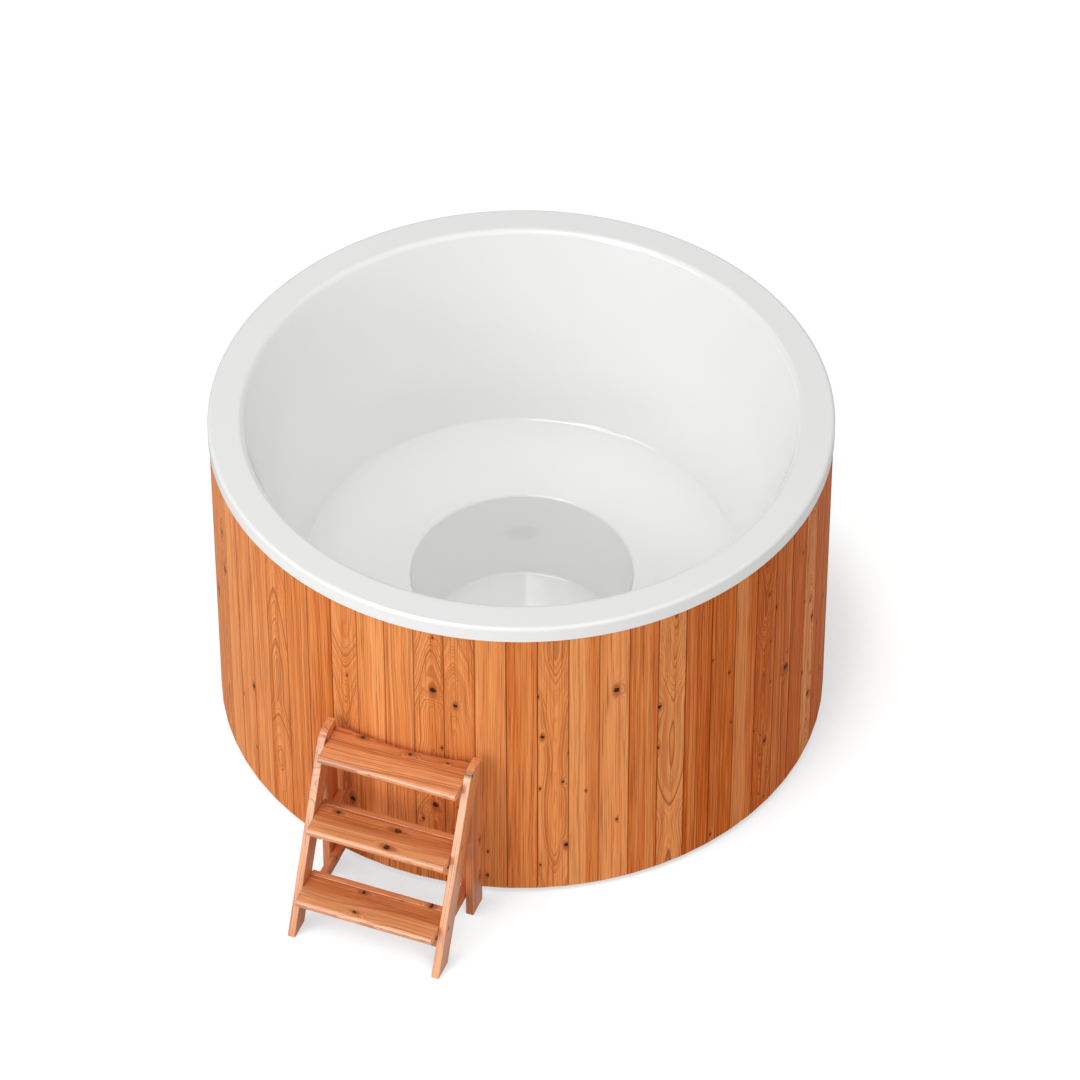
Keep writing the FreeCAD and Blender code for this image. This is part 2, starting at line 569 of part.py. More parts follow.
def make_valve():
    """Quarter-turn ball valve, closed: the lever lies across the pipe."""
    collar_hole = "pipe_radius + drain_fit"
    collar_back = "collar_radius * tan(abs(board_turn)) + drain_fit"
    node(turned_on_pipe("wall_collar", [
        (collar_hole, collar_back),
        ("collar_radius", collar_back),
        ("collar_radius", "collar_thickness", "collar_edge_radius"),
        (collar_hole, "collar_thickness"),
    ]), "wall_collar")

    inlet = "(valve_offset - valve_length / 2)"
    outlet = "(valve_offset + valve_length / 2)"
    shoulder = "(valve_radius - valve_end_radius)"
    casting = turned_on_pipe("valve_casting", [
        ("0", inlet),
        ("valve_end_radius", inlet),
        ("valve_end_radius", "valve_offset - valve_waist / 2 - " + shoulder),
        ("valve_radius", "valve_offset - valve_waist / 2"),
        ("valve_radius", "valve_offset + valve_waist / 2"),
        ("valve_end_radius", "valve_offset + valve_waist / 2 + " + shoulder),
        ("valve_end_radius", outlet),
        ("0", outlet),
    ])
    stem_y = "(%s + valve_offset)" % CLADDING
    centre = ("0", stem_y, "pipe_height")
    neck = cylinder("valve_neck", "neck_radius", "neck_height", centre)
    seat = doc.addObject("Part::Sphere", "ball_seat")
    bind(seat, "Radius", "ball_radius + drain_fit")
    bind_place(seat, *centre)
    start = "(%s + %s)" % (CLADDING, inlet)
    bore = cylinder("valve_bore", "ball_bore_radius", "valve_length", ("0", start, "pipe_height"), "y")
    socket = cylinder("valve_socket", collar_hole, "pipe_seat", ("0", start, "pipe_height"), "y")
    stem_hole = cylinder("stem_hole", "stem_radius + drain_fit", "neck_height", centre)
    node(cut(fuse("valve_outside", [casting, neck]), fuse("valve_hollow", [seat, bore, socket, stem_hole])),
         "valve_body")

    ball = doc.addObject("Part::Sphere", "ball")
    bind(ball, "Radius", "ball_radius")
    bind_place(ball, *centre)
    way = cylinder("ball_bore", "ball_bore_radius", "ball_radius * 2",
                   ("-ball_radius", stem_y, "pipe_height"), "x")
    flat = box("ball_flat_cut", ("-ball_radius", stem_y + " - ball_radius", "pipe_height + ball_flat"),
               ("ball_radius * 2", "ball_radius * 2", "ball_radius"))
    node(cut(ball, fuse("ball_cuts", [way, flat])), "valve_ball")

    lever_seat = "(neck_height + drain_fit)"
    lever_top = "(%s + lever_thickness)" % lever_seat
    body = new_body("valve_stem")
    revolve(body, [
        ("0", "ball_flat"),
        ("stem_radius", "ball_flat"),
        ("stem_radius", lever_top),
        ("stem_nut_radius", lever_top),
        ("stem_nut_radius", lever_top + " + stem_nut_height"),
        ("0", lever_top + " + stem_nut_height"),
    ])
    bind_place(body, *centre)
    node(body, "valve_stem")

    body = new_body("lever_strip")
    high = "(%s + lever_rise)" % lever_seat
    strip = pad(body, "XZ_Plane", [
        ("lever_width / 2", lever_seat),
        ("lever_width / 2", lever_top),
        ("-lever_root", lever_top, "lever_bend_radius"),
        ("-lever_root - lever_slope", high + " + lever_thickness", "lever_bend_radius + lever_thickness"),
        ("-lever_length", high + " + lever_thickness"),
        ("-lever_length", high),
        ("-lever_root - lever_slope", high, "lever_bend_radius"),
        ("-lever_root", lever_seat, "lever_bend_radius + lever_thickness"),
    ], "lever_width")
    strip.Midplane = True
    bind_place(body, *centre)
    eye = cylinder("lever_eye", "stem_radius + drain_fit", "lever_thickness * 2",
                   ("0", stem_y, "pipe_height + %s - lever_thickness / 2" % lever_seat))
    node(cut(body, eye), "valve_lever")

    body = new_body("grip_sleeve")
    middle = "(%s + lever_thickness / 2)" % high
    low, top = "(%s - grip_height / 2)" % middle, "(%s + grip_height / 2)" % middle
    sleeve = pad(body, "YZ_Plane", [
        ("-grip_width / 2", low, "grip_edge_radius"),
        ("grip_width / 2", low, "grip_edge_radius"),
        ("grip_width / 2", top, "grip_edge_radius"),
        ("-grip_width / 2", top, "grip_edge_radius"),
    ], "grip_length")
    start = "-(lever_length + grip_end)"
    bind_place(body, start, stem_y, "pipe_height")
    slit = box("grip_slit", (start + " + grip_end - drain_fit", stem_y + " - lever_width / 2 - drain_fit",
                             "pipe_height + %s - drain_fit" % high),
               ("grip_length", "lever_width + drain_fit * 2", "lever_thickness + drain_fit * 2"))
    node(cut(body, slit), "lever_grip")

    inside = "spigot_radius - spigot_wall"
    mouth = "(%s + spigot_flange + spigot_length)" % outlet
    node(turned_on_pipe("hose_spigot", [
        (inside, outlet),
        ("valve_end_radius", outlet),
        ("valve_end_radius", outlet + " + spigot_flange"),
        ("spigot_radius", outlet + " + spigot_flange"),
        ("spigot_radius", mouth + " - spigot_edge"),
        ("spigot_radius - spigot_edge", mouth),
        (inside, mouth),
    ]), "hose_spigot")


STEP_REAR = "(rim_radius - lip_overhang + step_gap)"
STEP_INSIDE = "(step_width / 2 - step_board)"
STEP_TOP = "(first_rise + %d * tread_rise + side_rise)" % TOP_LEVEL
TREAD_LEFT = "step_offset + step_fit - " + STEP_INSIDE
STRINGER_TOP_DEPTH = "(stringer_width / cos(stringer_lean))"
TREAD_LEVELS = [("lower", 0), ("middle", 1), ("top", TOP_LEVEL)]


def stringer_rear(height):
    """Distance from the axis to a leaning board's rear edge at a height."""
    return "(%s + (%s - (%s)) * tan(stringer_lean))" % (STEP_REAR, STEP_TOP, height)


def make_step_sides():
    """Each side: a leaning board, and an upright post mitred under it."""
    for label, place in (("left", "step_offset - step_width / 2"),
                         ("right", "step_offset + step_width / 2 - step_board")):
        body = new_body(label + "_stringer")
        pad(body, "YZ_Plane", [
            ("-" + stringer_rear("0"), "0"),
            ("-%s" % STEP_REAR, STEP_TOP),
            ("-(%s + %s)" % (STEP_REAR, STRINGER_TOP_DEPTH), STEP_TOP, "stringer_round"),
            ("-(%s + %s)" % (stringer_rear("0"), STRINGER_TOP_DEPTH), "0"),
        ], "step_board")
        bind_place(body, x=place)
        node(body, label + "_stringer")

        mitre_top = "(%s - step_fit / tan(stringer_lean))" % STEP_TOP
        body = new_body(label + "_post")
        pad(body, "YZ_Plane", [
            ("-%s" % STEP_REAR, "0"),
            ("-%s" % STEP_REAR, mitre_top),
            ("-(%s + post_depth)" % STEP_REAR, mitre_top + " - post_depth / tan(stringer_lean)"),
            ("-(%s + post_depth)" % STEP_REAR, "0"),
        ], "step_board")
        bind_place(body, x=place)
        node(body, label + "_post")


def tread_top(level):
    return "(first_rise + %d * tread_rise)" % level


def tread_nose(level):
    return "(%s + tread_reach + %d * tread_run)" % (STEP_REAR, TOP_LEVEL - level)


def make_tread(label, level):
    """A tread with a round nose. The top one runs back to the posts and is hollowed around the tub."""
    top = tread_top(level)
    under = "%s - tread_thickness" % top
    rear = STEP_REAR if level == TOP_LEVEL else "(%s - tread_depth)" % tread_nose(level)
    body = new_body(label + "_tread_board")
    pad(body, "YZ_Plane", [
        ("-" + rear, under),
        ("-" + rear, top),
        ("-" + tread_nose(level), top, "nose_radius"),
        ("-" + tread_nose(level), under, "nose_radius"),
    ], "2 * (%s - step_fit)" % STEP_INSIDE)
    bind_place(body, x=TREAD_LEFT)
    if level == TOP_LEVEL:
        hollow = cylinder("tread_hollow", CLADDING + " + hollow_gap", STEP_TOP)
        node(cut(body, hollow), label + "_tread")
    else:
        node(body, label + "_tread")


def make_rail(label, level):
    front = "(%s - tread_depth - step_fit)" % tread_nose(level)
    low = (TREAD_LEFT, "-" + front, "%s - rail_height" % tread_top(level))
    size = ("2 * (%s - step_fit)" % STEP_INSIDE, "rail_thickness", "rail_height")
    node(box(label + "_rail", low, size), label + "_rail")


def make_cleats(label, level):
    """Bars on the inner faces, from the posts' rear forward. They carry the rail, or the top tread itself."""
    carried = "tread_thickness" if level == TOP_LEVEL else "rail_height"
    front = "(%s - cleat_setback)" % tread_nose(level)
    low_z = "%s - %s - step_fit - cleat_height" % (tread_top(level), carried)
    size = ("cleat_width", "%s - %s" % (front, STEP_REAR), "cleat_height")
    right = "step_offset + %s - step_fit - cleat_width" % STEP_INSIDE
    for side, x in (("left", TREAD_LEFT), ("right", right)):
        name = "%s_%s_cleat" % (side, label)
        node(box(name, (x, "-" + front, low_z), size), name)


def make_steps():
    make_step_sides()
    for label, level in TREAD_LEVELS:
        make_tread(label, level)
        make_cleats(label, level)
        if level < TOP_LEVEL:
            make_rail(label, level)


def check_and_write():
    """Stops on any failed feature or bad solid, then writes each sub-part to its own file."""
    doc.recompute()
    failed = [thing.Label for thing in doc.Objects if {"Invalid", "Error"} & set(thing.State)]
    if failed:
        raise RuntimeError("failed features: " + ", ".join(failed))
    for thing in nodes:
        if thing.Shape.isNull() or not thing.Shape.isValid() or not thing.Shape.Solids:
            raise RuntimeError("bad solid: " + thing.Label)
    os.makedirs("parts", exist_ok=True)
    for thing in nodes:
        thing.Shape.exportStep("parts/%s.step" % thing.Label)
    print(len(nodes), "sub-parts written")


make_shell()
make_cladding()
make_rings()
make_base()
make_frame()
make_drain()
make_valve()
make_steps()
check_and_write()
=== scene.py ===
"""Dresses a nordic hot tub: moulded insert, board cladding, drain valve and free-standing steps."""
import json
import math
import random

import bmesh
import bpy
from mathutils import Matrix, Vector


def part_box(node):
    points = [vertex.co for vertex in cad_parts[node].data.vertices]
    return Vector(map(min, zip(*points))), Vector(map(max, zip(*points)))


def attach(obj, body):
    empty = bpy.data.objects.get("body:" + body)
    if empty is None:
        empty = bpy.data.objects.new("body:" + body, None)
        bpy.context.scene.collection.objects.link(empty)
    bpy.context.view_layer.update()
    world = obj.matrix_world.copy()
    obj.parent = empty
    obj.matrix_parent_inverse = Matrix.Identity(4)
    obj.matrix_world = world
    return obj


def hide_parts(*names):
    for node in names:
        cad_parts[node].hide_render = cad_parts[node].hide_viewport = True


bl_info = {
    "name": "Nordic Hot Tub",
    "version": (1, 0, 0),
    "blender": (4, 5, 0),
    "location": "3D View > Sidebar > Hot Tub",
    "description": "Dresses a nordic hot tub with its insert, boards, drain valve and steps",
    "category": "Object",
}

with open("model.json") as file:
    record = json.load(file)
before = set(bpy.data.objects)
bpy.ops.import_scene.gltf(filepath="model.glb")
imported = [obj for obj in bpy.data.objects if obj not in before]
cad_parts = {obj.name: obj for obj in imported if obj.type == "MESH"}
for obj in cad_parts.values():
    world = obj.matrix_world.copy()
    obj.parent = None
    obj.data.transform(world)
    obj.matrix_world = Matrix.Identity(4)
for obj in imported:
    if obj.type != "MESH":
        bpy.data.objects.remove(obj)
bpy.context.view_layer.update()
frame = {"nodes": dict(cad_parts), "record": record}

MM = 0.001
MERGE_DISTANCE = 0.01 * MM
FLAT_ANGLE = math.radians(0.5)
SHARP_ANGLE = math.radians(35)
BOARD_COUNT = 64
BOARD_TURN = math.radians(-1)
BOARD_FACE_DEPTH = 4 * MM
SPIN_STEPS = 240
SMALL_ROUNDING = 20 * MM
CLADDING_NODES = sorted(name for name in frame["nodes"] if name.startswith("cladding_"))
FRAME_TIMBERS = ("frame_stud_", "base_bearer_", "well_joist_")
PLYWOOD = ("shell_rib_", "base_deck", "top_ring", "middle_ring")
GRAIN_LAYERS = ("grain", "timber", "log", "edge")


def linear(hex_colour):
    """Scene-linear RGBA of an sRGB hex colour."""
    channels = [int(hex_colour[i:i + 2], 16) / 255 for i in (1, 3, 5)]
    return [c / 12.92 if c <= 0.04045 else ((c + 0.055) / 1.055) ** 2.4 for c in channels] + [1.0]


def length(label, note, millimetres):
    return bpy.props.FloatProperty(name=label, description=note, default=millimetres * MM, unit="LENGTH")


def colour(label, note, hex_colour):
    return bpy.props.FloatVectorProperty(
        name=label, description=note, default=linear(hex_colour), size=4, min=0, max=1, subtype="COLOR")


class HotTubSizes(bpy.types.PropertyGroup):
    """Sizes of the insert and of the small roundings that only show up close."""
    rim_width: length("Rim width", "Rim, from its outer edge to the edge over the wall", 111)
    lip_depth: length("Lip depth", "Skirt that hangs from the rim's outer edge", 54)
    rim_edge: length("Rim edge", "Rounding of the rim's outer edge", 12)
    rim_inner_edge: length("Rim inner edge", "Rounding of the rim's edge over the wall", 21)
    bench_radius: length("Bench radius", "Where the wall meets the bench", 706)
    bench_height: length("Bench height", "Height of the bench at the wall", 501)
    bench_fall: length("Bench fall", "Fall of the bench from the wall to the foot well", 31)
    bench_corner: length("Bench corner", "Hollow between wall and bench", 18)
    well_top: length("Well radius", "Foot well at the level of the bench", 366)
    well_edge: length("Well edge", "Rounding of the bench's front edge", 12)
    floor_radius: length("Floor radius", "Foot well at its floor", 318)
    floor_height: length("Floor height", "Height of the foot well's floor", 161)
    floor_corner: length("Floor corner", "Hollow between the well's wall and floor", 14)
    shell_wall: length("Wall", "Thickness of the insert", 7)
    drain_hole: length("Drain hole", "Radius of the hole in the foot well's floor", 24.3)
    back_edge: length("Back edge", "Smallest rounding on the insert's back", 2)
    board_ease: length("Board edge", "Softening of the cladding boards' edges", 0.9)
    step_ease: length("Step edge", "Rounding of the steps' sawn edges", 2.5)
    fitting_ease: length("Fitting edge", "Rounding of the drain and valve edges", 0.6)


class HotTubColours(bpy.types.PropertyGroup):
    """Colours of the main finishes."""
    acrylic: colour("Acrylic", "Moulded insert", "#F7F7F6")
    board_pale: colour("Board, pale", "Lightest of the cladding boards", "#FCA562")
    board_deep: colour("Board, deep", "Deepest of the cladding boards", "#D4630A")
    board_line: colour("Board, lines", "Late wood of the growth rings", "#86380C")
    step_pale: colour("Step, pale", "Lightest of the step boards", "#FAAC74")
    step_deep: colour("Step, deep", "Deepest of the step boards", "#CC6C36")
    step_line: colour("Step, lines", "Late wood of the step boards", "#843812")
    knot: colour("Knot", "Heart of a knot", "#42200F")
    pine: colour("Pine", "Unfinished timber of the frame", "#D9B885")
    grip: colour("Grip", "Vinyl sleeve of the valve's lever", "#3A3D40")


# Colour sockets of the Mix node, by number because other sockets of the node share their names
MIX_A, MIX_B, MIX_RESULT = 6, 7, 2


def add(tree, kind, links=None, **settings):
    """Adds a node with its own settings and, by input, the number it holds or the socket that feeds it."""
    node = tree.nodes.new(kind)
    for name, setting in settings.items():
        setattr(node, name, setting)
    for name, source in (links or {}).items():
        if isinstance(source, bpy.types.NodeSocket):
            tree.links.new(source, node.inputs[name])
        else:
            node.inputs[name].default_value = source
    return node


def new_material(name, **surface):
    """A material with an empty tree but for its surface shader, and that shader."""
    material = bpy.data.materials.new(name)
    material.use_nodes = True
    tree = material.node_tree
    tree.nodes.clear()
    shader = add(tree, "ShaderNodeBsdfPrincipled", surface)
    add(tree, "ShaderNodeOutputMaterial", {"Surface": shader.outputs["BSDF"]})
    return material, tree, shader


def per_mm(*sizes):
    """Scales of a pattern, from its sizes in millimetres."""
    return tuple(1 / (size * MM) for size in sizes)


def branch_knots(tree, grain, share):
    """Knots scattered over a board's face: each one's dark heart, stained surround and push on the rings.

    The face is divided into cells, and a board's share says how many of them hold a knot. Hearts are about
    7 to 23 mm across with ragged edges. A knot fades towards its cell's border, so that rings don't break.
    """
    across, along = 80 * MM, 170 * MM
    smallest, growth, rarity = 4 * MM, 10 * MM, 3.0
    shorter_along = 0.45
    heart_fray, stain_fray = 0.9, 0.8
    border_fade = 0.2
    upright = (-math.pi / 2, 0, 0)
    scatter = {"Scale": 1.0, "Randomness": 0.9}

    face = add(tree, "ShaderNodeMapping",
               {"Vector": grain, "Scale": (1 / across, 1, 1 / along), "Rotation": upright}).outputs[0]
    cells = add(tree, "ShaderNodeTexVoronoi", {"Vector": face, **scatter},
                voronoi_dimensions="2D", feature="F1")
    border = add(tree, "ShaderNodeTexVoronoi", {"Vector": face, **scatter},
                 voronoi_dimensions="2D", feature="DISTANCE_TO_EDGE").outputs["Distance"]
    away = add(tree, "ShaderNodeVectorMath", {0: face, 1: cells.outputs["Position"]}, operation="SUBTRACT")
    away = add(tree, "ShaderNodeVectorMath", {0: away.outputs[0], 1: (across, along, 0)},
               operation="MULTIPLY").outputs[0]
    distance = add(tree, "ShaderNodeVectorMath", {0: away}, operation="LENGTH").outputs["Value"]
    spread = add(tree, "ShaderNodeVectorMath", {0: away, 1: (1, shorter_along, 0)}, operation="MULTIPLY")
    spread = add(tree, "ShaderNodeVectorMath", {0: spread.outputs[0]}, operation="LENGTH").outputs["Value"]

    chance = add(tree, "ShaderNodeSeparateColor", {"Color": cells.outputs["Color"]}).outputs
    present = add(tree, "ShaderNodeMath", {0: chance["Red"], 1: share}, operation="LESS_THAN").outputs[0]
    inside = add(tree, "ShaderNodeMapRange", {"Value": border, "From Max": border_fade},
                 interpolation_type="SMOOTHSTEP").outputs[0]
    present = add(tree, "ShaderNodeMath", {0: present, 1: inside}, operation="MULTIPLY").outputs[0]
    size = add(tree, "ShaderNodeMath", {0: chance["Green"], 1: rarity}, operation="POWER").outputs[0]
    size = add(tree, "ShaderNodeMath", {0: size, 1: growth, 2: smallest},
               operation="MULTIPLY_ADD").outputs[0]

    # The edges of the heart, the stain and the push, counted in knot sizes
    ragged = add(tree, "ShaderNodeTexNoise", {"Vector": grain, "Scale": 1 / (6 * MM), "Detail": 2.0})
    ragged = ragged.outputs["Fac"]
    edge = add(tree, "ShaderNodeMath", {0: distance, 1: size}, operation="DIVIDE").outputs[0]
    edge = add(tree, "ShaderNodeMath", {0: ragged, 1: heart_fray, 2: edge},
               operation="MULTIPLY_ADD").outputs[0]
    heart = add(tree, "ShaderNodeMapRange", {"Value": edge, "From Min": 1.42, "From Max": 1.15},
                interpolation_type="SMOOTHSTEP").outputs[0]
    reach = add(tree, "ShaderNodeMath", {0: spread, 1: size}, operation="DIVIDE").outputs[0]
    frayed = add(tree, "ShaderNodeMath", {0: ragged, 1: stain_fray, 2: reach},
                 operation="MULTIPLY_ADD").outputs[0]
    stain = add(tree, "ShaderNodeMapRange", {"Value": frayed, "From Min": 2.4, "From Max": 1.0},
                interpolation_type="SMOOTHERSTEP").outputs[0]
    push = add(tree, "ShaderNodeMapRange", {"Value": reach, "From Min": 3.2, "From Max": 0.4},
               interpolation_type="SMOOTHERSTEP").outputs[0]
    push = add(tree, "ShaderNodeMath", {0: push, 1: size}, operation="MULTIPLY").outputs[0]
    return tuple(add(tree, "ShaderNodeMath", {0: part, 1: present}, operation="MULTIPLY").outputs[0]
                 for part in (heart, stain, push))


def growth_rings(tree, grain, spacing, drift, push):
    """Late wood at a place in the log, from 0 to 1, and the distance from the log's heart.

    The rings drift in and out along the log, are bent by slow and quick waves and are pushed aside by knots.
    Some years are wider than others, and some leave a stronger line. A year darkens slowly and ends sharply.
    """
    slow_wave, quick_wave, knot_push = 20 * MM, 2.5 * MM, 2.2
    year_wander = 2.2
    faintest, range_of_years = 0.25, 0.75
    darkening = ((0.25, 0.06), (0.6, 0.5), (0.84, 1.0), (0.94, 0.75))
    year_end = (1.0, 0.0)

    slow = add(tree, "ShaderNodeMapping", {"Vector": grain, "Scale": per_mm(70, 70, 600)}).outputs[0]
    slow = add(tree, "ShaderNodeTexNoise", {"Vector": slow, "Scale": 1.0, "Detail": 2.0}).outputs["Fac"]
    quick = add(tree, "ShaderNodeMapping", {"Vector": grain, "Scale": per_mm(14, 14, 250)}).outputs[0]
    quick = add(tree, "ShaderNodeTexNoise", {"Vector": quick, "Scale": 1.0, "Detail": 1.0}).outputs["Fac"]
    section = add(tree, "ShaderNodeVectorMath", {0: grain, 1: (1, 1, 0)}, operation="MULTIPLY").outputs[0]
    radius = add(tree, "ShaderNodeVectorMath", {0: section}, operation="LENGTH").outputs["Value"]
    along = add(tree, "ShaderNodeSeparateXYZ", {"Vector": grain}).outputs["Z"]
    wander = add(tree, "ShaderNodeTexNoise", {"W": along, "Scale": 1 / (450 * MM), "Detail": 1.0},
                 noise_dimensions="1D").outputs["Fac"]
    wander = add(tree, "ShaderNodeMath", {0: along, 1: 1 / (900 * MM), 2: wander},
                 operation="MULTIPLY_ADD").outputs[0]
    grown = radius
    for bend, amount in ((wander, drift), (slow, slow_wave), (quick, quick_wave), (push, knot_push)):
        grown = add(tree, "ShaderNodeMath", {0: bend, 1: amount, 2: grown},
                    operation="MULTIPLY_ADD").outputs[0]

    years = add(tree, "ShaderNodeMath", {0: grown, 1: spacing}, operation="DIVIDE").outputs[0]
    uneven = add(tree, "ShaderNodeTexNoise", {"W": years, "Scale": 0.6, "Detail": 1.0},
                 noise_dimensions="1D").outputs["Fac"]
    years = add(tree, "ShaderNodeMath", {0: uneven, 1: year_wander, 2: years},
                operation="MULTIPLY_ADD").outputs[0]
    season = add(tree, "ShaderNodeMath", {0: years}, operation="FRACT").outputs[0]
    year = add(tree, "ShaderNodeMath", {0: years}, operation="FLOOR").outputs[0]
    strength = add(tree, "ShaderNodeTexWhiteNoise", {"W": year}, noise_dimensions="1D").outputs["Value"]
    strength = add(tree, "ShaderNodeMath", {0: strength, 1: range_of_years, 2: faintest},
                   operation="MULTIPLY_ADD").outputs[0]
    late = add(tree, "ShaderNodeFloatCurve", {"Value": season})
    curve = late.mapping.curves[0]
    for part_of_year, darkness in darkening:
        curve.points.new(part_of_year, darkness)
    curve.points[-1].location = year_end
    late.mapping.update()
    late = add(tree, "ShaderNodeMath", {0: late.outputs[0], 1: strength}, operation="MULTIPLY").outputs[0]
    return late, radius


def depth_of_tone(tree, grain, tone_with_painted_shade, radius, heartwood):
    """A board's tone, which holds painted shade, with broad streaks along it and paler sapwood outside the
    heartwood's radius.
    """
    streak = add(tree, "ShaderNodeMapping", {"Vector": grain, "Scale": per_mm(22, 40, 1800)}).outputs[0]
    streak = add(tree, "ShaderNodeTexNoise", {"Vector": streak, "Scale": 1.0, "Detail": 3.0}).outputs["Fac"]
    streak = add(tree, "ShaderNodeMapRange", {"Value": streak, "From Min": 0.3, "From Max": 0.7,
                                              "To Min": -0.3, "To Max": 0.3}).outputs[0]
    sapwood = add(tree, "ShaderNodeMath", {0: radius, 1: heartwood}, operation="SUBTRACT").outputs[0]
    sapwood = add(tree, "ShaderNodeMapRange", {"Value": sapwood, "From Min": -6 * MM, "From Max": 8 * MM,
                                               "To Min": 0.0, "To Max": -0.55},
                  interpolation_type="SMOOTHSTEP").outputs[0]
    tone = add(tree, "ShaderNodeMath", {0: tone_with_painted_shade, 1: streak}, operation="ADD").outputs[0]
    return add(tree, "ShaderNodeMath", {0: tone, 1: sapwood}, operation="ADD", use_clamp=True).outputs[0]


def wood_fibres(tree, grain):
    """Short streaks of fibre, gleaming or dark, drawn coarser than real ones so that they show."""
    fibre = add(tree, "ShaderNodeMapping", {"Vector": grain, "Scale": per_mm(3.4, 3.4, 250)}).outputs[0]
    fibre = add(tree, "ShaderNodeTexNoise", {"Vector": fibre, "Scale": 1.0, "Detail": 2.0}).outputs["Fac"]
    gleam = add(tree, "ShaderNodeMapRange",
                {"Value": fibre, "From Min": 0.52, "From Max": 0.7, "To Max": 0.42}).outputs[0]
    pore = add(tree, "ShaderNodeMapRange",
               {"Value": fibre, "From Min": 0.48, "From Max": 0.3, "To Max": 0.65}).outputs[0]
    return gleam, pore


def painted_joint_shade(tree, place, depth):
    """Painted shade: darkening of a board's chamfers and of the face beside them, by the place across the
    board.
    """
    beside = add(tree, "ShaderNodeMath", {0: place}, operation="ABSOLUTE").outputs[0]
    joint = add(tree, "ShaderNodeMapRange", {"Value": beside, "From Min": 0.92, "From Max": 0.97},
                interpolation_type="SMOOTHSTEP").outputs[0]
    return add(tree, "ShaderNodeMath", {0: joint, 1: depth}, operation="MULTIPLY").outputs[0]


def planed_larch(name, pale, deep, line, knot, roughness, **surface):
    """Planed larch, oiled or varnished, cut from a log whose growth rings show as lines and arches.

    The eye sees red-brown lines along straight-grained boards, nested arches where a board is cut near the
    log's heart, near-black knots that the lines flow round, a paler sapwood edge on some boards, and boards
    of different tones. On the cladding the tones are partly painted light and shade, paler on the lit left
    and deeper on the shaded right, and the joints are darkened with painted shade. The rings are drawn 5 to
    9 mm apart, wider than in most larch, so that they show from some metres away.
    """
    stain_depth, dull_lines = 0.65, 0.12
    material, tree, shader = new_material(name, **surface)
    grain, timber, log, edge = (add(tree, "ShaderNodeAttribute", attribute_name=layer).outputs["Vector"]
                                for layer in GRAIN_LAYERS)
    timber = add(tree, "ShaderNodeSeparateXYZ", {"Vector": timber}).outputs
    log = add(tree, "ShaderNodeSeparateXYZ", {"Vector": log}).outputs
    edge = add(tree, "ShaderNodeSeparateXYZ", {"Vector": edge}).outputs

    heart, stain, push = branch_knots(tree, grain, timber["Z"])
    stain = add(tree, "ShaderNodeMath", {0: stain, 1: stain_depth}, operation="MULTIPLY").outputs[0]
    late, radius = growth_rings(tree, grain, log["X"], log["Z"], push)
    dark = add(tree, "ShaderNodeMath", {0: late, 1: timber["Y"]}, operation="MULTIPLY").outputs[0]
    tone = depth_of_tone(tree, grain, timber["X"], radius, log["Y"])
    gleam, pore = wood_fibres(tree, grain)
    # Painted shade in the joints darkens the face along with the pores and the knots' stain
    for shade in (pore, stain, painted_joint_shade(tree, edge["X"], edge["Y"])):
        dark = add(tree, "ShaderNodeMath", {0: dark, 1: shade}, operation="MAXIMUM").outputs[0]

    body = pale
    for share, tint in ((tone, deep), (gleam, linear("#FFB064")), (dark, line), (heart, knot)):
        body = add(tree, "ShaderNodeMix", {"Factor": share, MIX_A: body, MIX_B: tint},
                   data_type="RGBA").outputs[MIX_RESULT]
    rough = add(tree, "ShaderNodeMath", {0: dark, 1: dull_lines, 2: roughness},
                operation="MULTIPLY_ADD").outputs[0]
    bump = add(tree, "ShaderNodeBump", {"Height": dark, "Strength": 0.3, "Distance": 0.4 * MM}, invert=True)
    tree.links.new(body, shader.inputs["Base Color"])
    tree.links.new(rough, shader.inputs["Roughness"])
    tree.links.new(bump.outputs[0], shader.inputs["Normal"])
    return material


def formed_acrylic(base):
    """Sanitary acrylic sheet, formed over a mould: white and glossy, with a formed sheet's faint waviness.

    The gloss is stronger than acrylic's own, so that the bright lines in the corners show although they are
    finer than a pixel.
    """
    gloss = {"IOR": 1.8, "Specular IOR Level": 0.8}
    material, tree, shader = new_material("formed_acrylic", **{"Base Color": base}, **gloss)
    coords = add(tree, "ShaderNodeTexCoord").outputs["Object"]
    wave = add(tree, "ShaderNodeTexNoise", {"Vector": coords, "Scale": 1 / (45 * MM), "Detail": 1.0})
    cloud = add(tree, "ShaderNodeTexNoise", {"Vector": coords, "Scale": 1 / (260 * MM), "Detail": 3.0})
    rough = add(tree, "ShaderNodeMapRange",
                {"Value": cloud.outputs["Fac"], "To Min": 0.08, "To Max": 0.14}).outputs[0]
    bump = add(tree, "ShaderNodeBump",
               {"Height": wave.outputs["Fac"], "Strength": 0.02, "Distance": 1 * MM}).outputs[0]
    tree.links.new(rough, shader.inputs["Roughness"])
    tree.links.new(bump, shader.inputs["Normal"])
    return material


def grained(name, base, dark, spacing, stretch, roughness):
    """Unfinished timber or plywood: dull, with streaks along the upright."""
    material, tree, shader = new_material(name, Roughness=roughness)
    coords = add(tree, "ShaderNodeTexCoord").outputs["Object"]
    place = add(tree, "ShaderNodeMapping",
                {"Vector": coords, "Scale": (1 / spacing, 1 / spacing, 1 / stretch)}).outputs[0]
    noise = add(tree, "ShaderNodeTexNoise", {"Vector": place, "Scale": 1.0, "Detail": 4.0}).outputs["Fac"]
    body = add(tree, "ShaderNodeMix", {"Factor": noise, MIX_A: base, MIX_B: dark}, data_type="RGBA")
    bump = add(tree, "ShaderNodeBump", {"Height": noise, "Strength": 0.3, "Distance": 0.5 * MM})
    tree.links.new(body.outputs[MIX_RESULT], shader.inputs["Base Color"])
    tree.links.new(bump.outputs[0], shader.inputs["Normal"])
    return material


